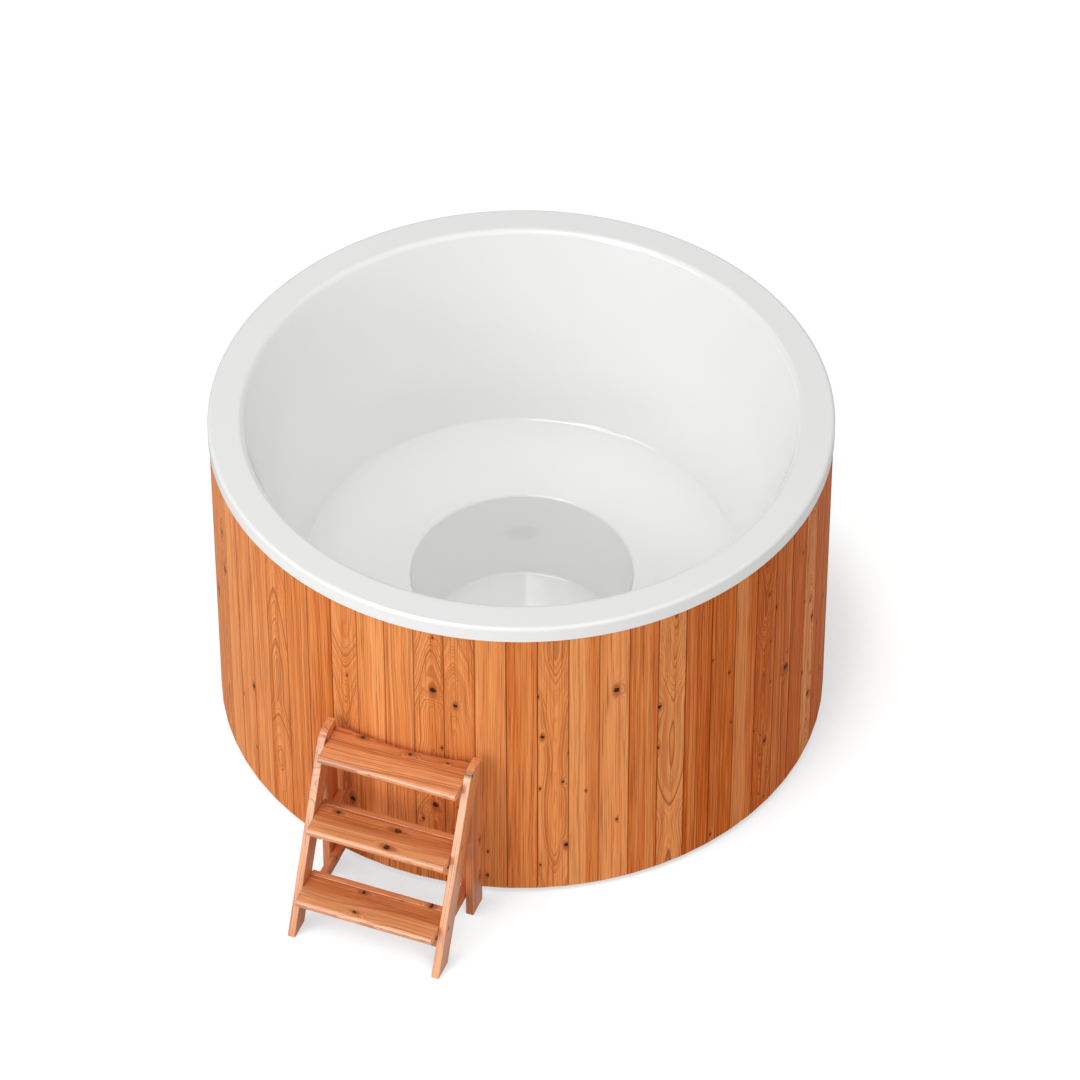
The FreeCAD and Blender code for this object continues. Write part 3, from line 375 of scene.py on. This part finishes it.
def speckled(name, base, dark, grit, rough_low, rough_high, **surface):
    """A moulded, cast or drawn surface: small grit that varies its colour a little and its gloss more."""
    material, tree, shader = new_material(name, **surface)
    coords = add(tree, "ShaderNodeTexCoord").outputs["Object"]
    noise = add(tree, "ShaderNodeTexNoise", {"Vector": coords, "Scale": 1 / grit, "Detail": 3.0})
    noise = noise.outputs["Fac"]
    body = add(tree, "ShaderNodeMix", {"Factor": noise, MIX_A: base, MIX_B: dark}, data_type="RGBA")
    rough = add(tree, "ShaderNodeMapRange", {"Value": noise, "To Min": rough_low, "To Max": rough_high})
    bump = add(tree, "ShaderNodeBump", {"Height": noise, "Strength": 0.15, "Distance": 0.2 * MM})
    tree.links.new(body.outputs[MIX_RESULT], shader.inputs["Base Color"])
    tree.links.new(rough.outputs[0], shader.inputs["Roughness"])
    tree.links.new(bump.outputs[0], shader.inputs["Normal"])
    return material


def merged_copy(node):
    """A closed copy of a CAD node, with its triangles merged and its flat faces whole."""
    bm = bmesh.new()
    bm.from_mesh(frame["nodes"][node].data)
    bmesh.ops.remove_doubles(bm, verts=bm.verts, dist=MERGE_DISTANCE)
    bmesh.ops.dissolve_limit(bm, angle_limit=FLAT_ANGLE, verts=bm.verts, edges=bm.edges)
    return bm


def ease(bm, edges, radius, segments=2):
    """Softens edges with a small rounding."""
    bmesh.ops.bevel(bm, geom=edges, offset=radius, offset_type="OFFSET", affect="EDGES", segments=segments,
                    profile=0.5, material=-1, clamp_overlap=True)


def sharp_edges(bm):
    return [edge for edge in bm.edges if edge.is_manifold and edge.calc_face_angle() > SHARP_ANGLE]


class Cut:
    """Where in a log a board was cut, and what that gives it. Lengths are in metres."""

    def __init__(self, rng, arched):
        self.side = rng.choice((-1, 1)) * (rng.uniform(0, 14) if arched else rng.uniform(70, 160)) * MM
        self.depth = (rng.uniform(7, 15) if arched else rng.uniform(5, 45)) * MM
        self.lean = rng.uniform(-0.012, 0.012)
        self.drift = rng.choice((-1, 1)) * (rng.uniform(80, 150) if arched else rng.uniform(0, 6)) * MM
        self.start = rng.uniform(0, 200)
        self.ring = (rng.uniform(6.5, 9) if arched else rng.uniform(5.5, 8)) * MM
        self.heartwood = (abs(self.side) + rng.uniform(-20, 150) * MM) if rng.random() < 0.45 else 1.0
        self.tone = rng.uniform(0.1, 1.0)
        self.figure = rng.uniform(0.8, 1.0) if arched else rng.uniform(0.5, 0.8)
        self.knots = rng.choice((0.05, 0.12, 0.3, 0.55))
        # Depth of the painted shade in the joints, none unless a board sets it
        self.joint = 0.0


def lay_grain(bm, verts, centre, axes, width, cut):
    """Marks a board's vertices with their place in the log and what its cut gives it.

    The axes are the directions of its width, its outward face and its length.
    """
    grain, timber, log, edge = (bm.verts.layers.float_vector[name] for name in GRAIN_LAYERS)
    for vert in verts:
        local = axes @ (vert.co - centre)
        vert[grain] = local + Vector((cut.side + cut.lean * local.z, cut.depth, cut.start))
        vert[timber] = (cut.tone, cut.figure, cut.knots)
        vert[log] = (cut.ring, cut.heartwood, cut.drift)
        # Place across the board, and the depth of the painted shade in its joints
        vert[edge] = (2 * local.x / width, cut.joint, 0)


def add_grain_layers(bm):
    for name in GRAIN_LAYERS:
        bm.verts.layers.float_vector.new(name)


def new_piece(name, bm, material, body, slot, *nodes):
    """Turns a finished bmesh into a piece that stands for CAD nodes and rides on their body."""
    for face in bm.faces:
        face.smooth = True
    for edge in bm.edges:
        edge.smooth = not edge.is_manifold or edge.calc_face_angle() < SHARP_ANGLE
    mesh = bpy.data.meshes.new(name)
    bm.to_mesh(mesh)
    bm.free()
    # A CAD node's own normals don't fit its softened copy
    if "custom_normal" in mesh.attributes:
        mesh.attributes.remove(mesh.attributes["custom_normal"])
    mesh.materials.clear()
    mesh.materials.append(material)
    piece = bpy.data.objects.new(name, mesh)
    bpy.context.scene.collection.objects.link(piece)
    flat = piece.modifiers.new("flat_faces", "WEIGHTED_NORMAL")
    flat.keep_sharp = True
    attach(piece, body)
    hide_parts(*nodes)
    return piece


def arc_steps(rounding):
    """Enough steps that a rounding looks smooth."""
    return 10 if rounding < SMALL_ROUNDING else 24


def trace_section(bm, corners):
    """A closed wire in the XZ plane through corners (radius, height, rounding), with spun arcs."""
    points = [Vector((radius, 0, height)) for radius, height, rounding in corners]
    count = len(corners)
    pen = first = None
    for i, (radius, height, rounding) in enumerate(corners):
        before = (points[i - 1] - points[i]).normalized()
        after = (points[(i + 1) % count] - points[i]).normalized()
        half = before.angle(after) / 2
        run = rounding / math.tan(half)
        vert = bm.verts.new(points[i] + before * run)
        if pen:
            bm.edges.new((pen, vert))
        first = first or vert
        pen = vert
        if rounding:
            centre = points[i] + (before + after).normalized() * (rounding / math.sin(half))
            axis = (points[i] + before * run - centre).cross(points[i] + after * run - centre).normalized()
            arc = bmesh.ops.spin(bm, geom=[vert], cent=centre, axis=axis, angle=math.pi - 2 * half,
                                 steps=arc_steps(rounding))
            pen = next(item for item in arc["geom_last"] if isinstance(item, bmesh.types.BMVert))
    bm.edges.new((pen, first))


def insert_section(sizes):
    """Corners of the insert's wall: the bathing side from the lip to the drain, then the back."""
    low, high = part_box("tub_shell")
    rim, top, wall = high.x, high.z, sizes.shell_wall
    lip = top - sizes.lip_depth
    shoulder = rim - sizes.rim_width
    bench_edge = sizes.bench_height - sizes.bench_fall
    return [
        (rim, lip, 0),
        (rim, top, sizes.rim_edge),
        (shoulder, top, sizes.rim_inner_edge),
        (sizes.bench_radius, sizes.bench_height, sizes.bench_corner),
        (sizes.well_top, bench_edge, sizes.well_edge),
        (sizes.floor_radius, sizes.floor_height, sizes.floor_corner),
        (sizes.drain_hole, sizes.floor_height, 0),
        (sizes.drain_hole, sizes.floor_height - wall, 0),
        (sizes.floor_radius + wall, sizes.floor_height - wall, sizes.floor_corner + wall),
        (sizes.well_top + wall, bench_edge - wall, max(sizes.well_edge - wall, sizes.back_edge)),
        (sizes.bench_radius + wall, sizes.bench_height - wall, sizes.bench_corner + wall),
        (shoulder + wall, top - wall, max(sizes.rim_inner_edge - wall, sizes.back_edge)),
        (rim - wall, top - wall, max(sizes.rim_edge - wall, sizes.back_edge)),
        (rim - wall, lip, 0),
    ]


class HOTTUB_OT_insert(bpy.types.Operator):
    """Spin the moulded insert from its section"""
    bl_idname = "hottub.insert"
    bl_label = "Moulded Insert"

    def execute(self, context):
        scene = context.scene
        bm = bmesh.new()
        trace_section(bm, insert_section(scene.hot_tub_sizes))
        bmesh.ops.spin(bm, geom=bm.verts[:] + bm.edges[:], cent=(0, 0, 0), axis=(0, 0, 1), angle=math.tau,
                       steps=SPIN_STEPS, use_merge=True)
        bmesh.ops.remove_doubles(bm, verts=bm.verts, dist=MERGE_DISTANCE)
        bmesh.ops.recalc_face_normals(bm, faces=bm.faces)
        acrylic = formed_acrylic(scene.hot_tub_colours.acrylic)
        new_piece("moulded_insert", bm, acrylic, "tub", "acrylic", "tub_shell")
        return {"FINISHED"}


# Boards from the front one to the right, then over again: how each is cut, its depth of tone and its share
# of knots. An arched board is cut near the log's heart. The tones are partly painted light and shade: deeper
# on the boards seen right of the front, paler on those seen left of it, which wrap to the table's end.
BOARD_LOOKS = (
    ("straight", 0.22, 0.05),
    ("arched", 0.3, 0.6),
    ("arched", 0.3, 0.2),
    ("straight", 0.25, 0.12),
    ("straight", 0.58, 0.05),
    ("arched", 0.3, 0.75),
    ("straight", 0.52, 0.25),
    ("straight", 0.22, 0.45),
    ("straight", 0.58, 0.1),
    ("arched", 0.75, 0.5),
    ("straight", 1.0, 0.1),
    ("straight", 0.88, 0.3),
    ("straight", 0.8, 0.12),
    ("arched", 1.0, 0.6),
    ("straight", 0.86, 0.15),
    ("straight", 1.0, 0.08),
    ("arched", 0.9, 0.4),
    ("straight", 1.0, 0.12),
    ("straight", 0.9, 0.1),
    ("arched", 0.95, 0.3),
    ("arched", 0.3, 0.25),
    ("straight", 0.4, 0.1),
    ("straight", 0.25, 0.1),
    ("arched", 0.3, 0.3),
    ("straight", 0.2, 0.08),
    ("straight", 0.35, 0.2),
    ("straight", 0.25, 0.05),
    ("arched", 0.4, 0.1),
    ("straight", 0.45, 0.08),
    ("straight", 0.55, 0.04),
    ("arched", 0.42, 0.35),
    ("straight", 0.35, 0.05),
)


def board_cut(number, rng):
    """The cut of a cladding board, by its number from the front one to the right.

    The table's tones hold painted light and shade, paler left of the front and deeper right of it.
    Pale boards have fainter lines and a fainter painted shade in their joints.
    """
    figure, tone, knots = BOARD_LOOKS[number % len(BOARD_LOOKS)]
    contrast = 0.6 + 0.4 * tone
    cut = Cut(rng, figure == "arched")
    # The tone holds painted shade: deeper on the boards right of the front, paler on those left of it
    cut.tone = tone
    cut.figure *= contrast
    cut.knots = knots
    # Depth of the painted shade in the joints, fainter on pale boards
    cut.joint = rng.uniform(0.5, 0.9) * contrast
    return cut


class HOTTUB_OT_cladding(bpy.types.Operator):
    """Dress the upright boards around the tub, each cut from its own place in a log"""
    bl_idname = "hottub.cladding"
    bl_label = "Board Cladding"

    def execute(self, context):
        sizes, colours = context.scene.hot_tub_sizes, context.scene.hot_tub_colours
        oil = {"roughness": 0.5, "Specular IOR Level": 0.12}
        wood = planed_larch("oiled_larch_boards", colours.board_pale, colours.board_deep,
                            colours.board_line, colours.knot, **oil)
        rng = random.Random(11)
        pitch = math.tau / BOARD_COUNT
        low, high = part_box(CLADDING_NODES[0])
        face = -low.y * math.cos(BOARD_TURN)
        width = 2 * face * math.tan(pitch / 2)
        for node in CLADDING_NODES:
            bm = merged_copy(node)
            add_grain_layers(bm)
            boards = {}
            for vert in bm.verts:
                number = round((math.atan2(vert.co.x, -vert.co.y) - BOARD_TURN) / pitch)
                boards.setdefault(number, []).append(vert)
            outer = set()
            for number, verts in sorted(boards.items()):
                angle = number * pitch + BOARD_TURN
                outward = Vector((math.sin(angle), -math.cos(angle), 0))
                across = Vector((math.cos(angle), math.sin(angle), 0))
                centre = outward * face + Vector((0, 0, (low.z + high.z) / 2))
                outer.update(vert for vert in verts if (vert.co - centre).dot(outward) > -BOARD_FACE_DEPTH)
                axes = Matrix((across, outward, (0, 0, 1)))
                lay_grain(bm, verts, centre, axes, width, board_cut(number, rng))
            edges = [edge for edge in sharp_edges(bm) if outer.issuperset(edge.verts)]
            ease(bm, edges, sizes.board_ease)
            new_piece(node.replace("cladding", "boards"), bm, wood, "tub", "cladding_wood", node)
        return {"FINISHED"}


STRINGER_LEAN = math.radians(25)
STEP_AXES = {
    "stringer": ((0, math.cos(STRINGER_LEAN), -math.sin(STRINGER_LEAN)), (1, 0, 0),
                 (0, math.sin(STRINGER_LEAN), math.cos(STRINGER_LEAN))),
    "post": ((0, 1, 0), (1, 0, 0), (0, 0, 1)),
    "tread": ((0, 1, 0), (0, 0, 1), (1, 0, 0)),
    "rail": ((0, 0, 1), (0, 1, 0), (1, 0, 0)),
    "cleat": ((0, 0, 1), (1, 0, 0), (0, 1, 0)),
}


def step_cut(kind, rng):
    """The cut of a step's board: quiet and straight-grained, with knots.

    Treads are paler along the front and deeper towards the back, and rails are pale.
    """
    cut = Cut(rng, False)
    cut.figure *= 0.9
    cut.knots = 0.5
    if kind == "tread":
        cut.side = -110 * MM
        cut.heartwood = 125 * MM
        cut.tone = 0.6
        cut.drift = 45 * MM
    if kind == "rail":
        cut.tone = 0.25
    return cut


class HOTTUB_OT_steps(bpy.types.Operator):
    """Dress the boards of the steps, with eased edges and the grain along each board"""
    bl_idname = "hottub.steps"
    bl_label = "Steps"

    def execute(self, context):
        sizes, colours = context.scene.hot_tub_sizes, context.scene.hot_tub_colours
        varnish = {"roughness": 0.4, "Specular IOR Level": 0.5,
                   "Coat Weight": 1.0, "Coat IOR": 1.6, "Coat Roughness": 0.16}
        wood = planed_larch("varnished_larch_steps", colours.step_pale, colours.step_deep,
                            colours.step_line, colours.knot, **varnish)
        rng = random.Random(5)
        for node in frame["record"]["behaviour"]["bodies"]["steps"]:
            kind = node.split("_")[-1]
            low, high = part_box(node)
            bm = merged_copy(node)
            add_grain_layers(bm)
            centre, axes, size = (low + high) / 2, Matrix(STEP_AXES[kind]), (high - low).length
            lay_grain(bm, bm.verts, centre, axes, size, step_cut(kind, rng))
            ease(bm, sharp_edges(bm), sizes.step_ease, 3)
            new_piece(node + "_board", bm, wood, "steps", "step_wood", node)
        return {"FINISHED"}


class HOTTUB_OT_frame(bpy.types.Operator):
    """Finish the timber and plywood that carry the insert and the boards"""
    bl_idname = "hottub.frame"
    bl_label = "Inner Frame"

    def execute(self, context):
        colours = context.scene.hot_tub_colours
        pine = grained("sawn_pine", colours.pine, linear("#B98C58"),
                       spacing=9 * MM, stretch=300 * MM, roughness=0.7)
        plywood = grained("birch_plywood", linear("#DFC79A"), linear("#C6A571"),
                          spacing=40 * MM, stretch=12 * MM, roughness=0.65)
        for name, node in frame["nodes"].items():
            for prefixes, material in ((FRAME_TIMBERS, pine), (PLYWOOD, plywood)):
                if name.startswith(prefixes):
                    node.data.materials.clear()
                    node.data.materials.append(material)
        return {"FINISHED"}


class HOTTUB_OT_drain(bpy.types.Operator):
    """Dress the drain, its pipe and the ball valve at the back"""
    bl_idname = "hottub.drain"
    bl_label = "Drain and Valve"

    def execute(self, context):
        sizes, colours = context.scene.hot_tub_sizes, context.scene.hot_tub_colours
        # Metals shine softly where brushed or plated and mirror the room where polished; the rest is dull
        metal = {"Metallic": 1.0}
        steel = speckled("brushed_stainless_steel", linear("#C9CBCC"), linear("#B4B7B9"),
                         grit=1.5 * MM, rough_low=0.25, rough_high=0.4, **metal)
        nickel = speckled("nickel_plated_brass", linear("#C8C2B6"), linear("#B3AC9F"),
                          grit=2 * MM, rough_low=0.22, rough_high=0.42, **metal)
        chrome = speckled("chromed_ball", linear("#D6D8DA"), linear("#CACDD0"),
                          grit=3 * MM, rough_low=0.06, rough_high=0.12, **metal)
        pvc = speckled("grey_pvc", linear("#6E7276"), linear("#63676B"),
                       grit=1 * MM, rough_low=0.35, rough_high=0.5)
        rubber = speckled("black_rubber", linear("#1E1E1F"), linear("#29292A"),
                          grit=0.6 * MM, rough_low=0.6, rough_high=0.8)
        vinyl = speckled("dipped_vinyl_grip", colours.grip, linear("#2F3234"),
                         grit=1.2 * MM, rough_low=0.4, rough_high=0.55)
        finishes = [
            (steel, "stainless_steel", ("drain_strainer", "valve_lever")),
            (nickel, "nickel_brass", ("valve_body", "hose_spigot", "valve_stem")),
            (chrome, "chromed_ball", ("valve_ball",)),
            (pvc, "grey_pvc", ("drain_body", "drain_nut", "drain_sump", "drain_pipe", "wall_collar")),
            (rubber, "black_rubber", ("drain_gasket",)),
            (vinyl, "vinyl_grip", ("lever_grip",)),
        ]
        bodies = frame["record"]["behaviour"]["bodies"]
        for material, slot, nodes in finishes:
            for node in nodes:
                body = next(name for name, members in bodies.items() if node in members)
                bm = merged_copy(node)
                ease(bm, sharp_edges(bm), sizes.fitting_ease)
                new_piece(node + "_fitting", bm, material, body, slot, node)
        return {"FINISHED"}


def make_world(front, top, right):
    """A white studio that lights the tub most from overhead. Gloss sees it paler, and the camera white."""
    gloss_share = 0.4
    world = bpy.data.worlds.new("white_studio")
    world.use_nodes = True
    tree = world.node_tree
    tree.nodes.clear()
    towards = add(tree, "ShaderNodeTexCoord").outputs["Generated"]
    level = 0.0
    for side, share in (((0, -1, 0), front), ((0, 0, 1), top), ((1, 0, 0), right)):
        facing = add(tree, "ShaderNodeVectorMath", {0: towards, 1: side},
                     operation="DOT_PRODUCT").outputs["Value"]
        facing = add(tree, "ShaderNodeMath", {0: facing, 1: 0.0}, operation="MAXIMUM").outputs[0]
        level = add(tree, "ShaderNodeMath", {0: facing, 1: share, 2: level},
                    operation="MULTIPLY_ADD").outputs[0]
    path = add(tree, "ShaderNodeLightPath").outputs
    seen = add(tree, "ShaderNodeMath", {0: path["Is Glossy Ray"], 1: path["Is Transmission Ray"]},
               operation="MAXIMUM").outputs[0]
    seen = add(tree, "ShaderNodeMath", {0: seen, 1: gloss_share, 2: path["Is Camera Ray"]},
               operation="MULTIPLY_ADD", use_clamp=True).outputs[0]
    strength = add(tree, "ShaderNodeMapRange", {"Value": seen, "To Min": level, "To Max": 1.0}).outputs[0]
    light = add(tree, "ShaderNodeBackground", {"Color": linear("#FFFFFF"), "Strength": strength})
    add(tree, "ShaderNodeOutputWorld", {"Surface": light.outputs[0]})
    bpy.context.scene.world = world


def make_floor(size, lift, reach):
    """A matt white floor. To the camera it glows, less so near what stands between it and the lamps."""
    lampward = {"X": -0.16, "Y": -0.75, "Z": 0.64}
    shaded = 0.68
    material = bpy.data.materials.new("matt_white_floor")
    material.use_nodes = True
    tree = material.node_tree
    tree.nodes.clear()
    seen = add(tree, "ShaderNodeLightPath").outputs["Is Camera Ray"]
    paint = add(tree, "ShaderNodeMix", {"Factor": seen, MIX_A: linear("#D8D8D8"), MIX_B: linear("#6E6E6E")},
                data_type="RGBA").outputs[MIX_RESULT]
    matt = add(tree, "ShaderNodeBsdfDiffuse", {"Color": paint}).outputs[0]
    lampward = add(tree, "ShaderNodeCombineXYZ", lampward).outputs[0]
    openness = add(tree, "ShaderNodeAmbientOcclusion", {"Distance": reach, "Normal": lampward}).outputs["AO"]
    glow = add(tree, "ShaderNodeMapRange", {"Value": openness, "From Min": 0.5, "From Max": 0.8,
                                            "To Min": shaded * lift, "To Max": lift},
               interpolation_type="SMOOTHSTEP").outputs[0]
    glow = add(tree, "ShaderNodeMath", {0: seen, 1: glow}, operation="MULTIPLY").outputs[0]
    glow = add(tree, "ShaderNodeEmission", {"Color": linear("#FFFFFF"), "Strength": glow}).outputs[0]
    both = add(tree, "ShaderNodeAddShader", {0: matt, 1: glow}).outputs[0]
    add(tree, "ShaderNodeOutputMaterial", {"Surface": both})
    bm = bmesh.new()
    bmesh.ops.create_grid(bm, x_segments=1, y_segments=1, size=size / 2)
    mesh = bpy.data.meshes.new("floor")
    bm.to_mesh(mesh)
    bm.free()
    mesh.materials.append(material)
    floor = bpy.data.objects.new("floor", mesh)
    bpy.context.scene.collection.objects.link(floor)


# Soft boxes: name, azimuth and elevation in degrees, width and height in metres, power in watts
LAMPS = (
    ("key_soft_box", -40, 25, 4.4, 4.4, 260),
    ("front_strip", -15, 18, 3, 9, 410),
    ("top_bar", -20, 66, 8, 1.6, 270),
)
LAMP_DISTANCE = 14
LAMP_AIM = Vector((0, 0, 0.5))


def make_lamp(name, azimuth, elevation, width, height, power):
    """A soft box that faces the tub from a direction, with azimuth 0 in front of the steps."""
    a, e = math.radians(azimuth), math.radians(elevation)
    away = Vector((math.sin(a) * math.cos(e), -math.cos(a) * math.cos(e), math.sin(e)))
    data = bpy.data.lights.new(name, "AREA")
    data.shape = "RECTANGLE"
    data.size = width
    data.size_y = height
    data.energy = power
    lamp = bpy.data.objects.new(name, data)
    lamp.location = away * LAMP_DISTANCE + LAMP_AIM
    lamp.rotation_euler = away.to_track_quat("Z", "Y").to_euler()
    bpy.context.scene.collection.objects.link(lamp)


def make_camera():
    """A long lens from the right of the steps, looking down into the tub."""
    azimuth, pitch, yaw, roll = (math.radians(angle) for angle in (21.6, 43.241, 0.241, -0.046))
    distance, height = 14.082, 13.854
    data = bpy.data.cameras.new("camera")
    data.lens, data.sensor_width = 198.23, 36
    data.clip_end = 200
    camera = bpy.data.objects.new("camera", data)
    forward = Vector((math.sin(yaw) * math.cos(pitch), math.cos(yaw) * math.cos(pitch), -math.sin(pitch)))
    turn = Matrix.Rotation(azimuth, 4, "Z")
    aim = forward.to_track_quat("-Z", "Y").to_matrix().to_4x4() @ Matrix.Rotation(roll, 4, "Z")
    camera.matrix_world = turn @ Matrix.Translation((0, -distance, height)) @ aim
    bpy.context.scene.collection.objects.link(camera)
    bpy.context.scene.camera = camera


class HOTTUB_OT_stage(bpy.types.Operator):
    """Set up the white floor, the soft lights and the camera"""
    bl_idname = "hottub.stage"
    bl_label = "Stage"

    def execute(self, context):
        context.scene.view_settings.view_transform = "Standard"
        make_world(front=0.45, top=0.65, right=0.44)
        make_floor(size=60, lift=0.92, reach=0.45)
        for lamp in LAMPS:
            make_lamp(*lamp)
        make_camera()
        return {"FINISHED"}


OPERATORS = (
    HOTTUB_OT_insert,
    HOTTUB_OT_cladding,
    HOTTUB_OT_steps,
    HOTTUB_OT_frame,
    HOTTUB_OT_drain,
    HOTTUB_OT_stage,
)


class HOTTUB_PT_panel(bpy.types.Panel):
    """Buttons for the tub's pieces and its stage"""
    bl_label = "Nordic Hot Tub"
    bl_idname = "HOTTUB_PT_panel"
    bl_space_type = "VIEW_3D"
    bl_region_type = "UI"
    bl_category = "Hot Tub"

    def draw(self, context):
        for operator in OPERATORS:
            self.layout.operator(operator.bl_idname)


CLASSES = (HotTubSizes, HotTubColours) + OPERATORS + (HOTTUB_PT_panel,)


def register():
    for cls in CLASSES:
        bpy.utils.register_class(cls)
    bpy.types.Scene.hot_tub_sizes = bpy.props.PointerProperty(type=HotTubSizes)
    bpy.types.Scene.hot_tub_colours = bpy.props.PointerProperty(type=HotTubColours)


def unregister():
    del bpy.types.Scene.hot_tub_colours
    del bpy.types.Scene.hot_tub_sizes
    for cls in reversed(CLASSES):
        bpy.utils.unregister_class(cls)


def main():
    register()
    bpy.ops.hottub.insert()
    bpy.ops.hottub.cladding()
    bpy.ops.hottub.steps()
    bpy.ops.hottub.frame()
    bpy.ops.hottub.drain()
    bpy.ops.hottub.stage()


if __name__ == "__main__":
    main()
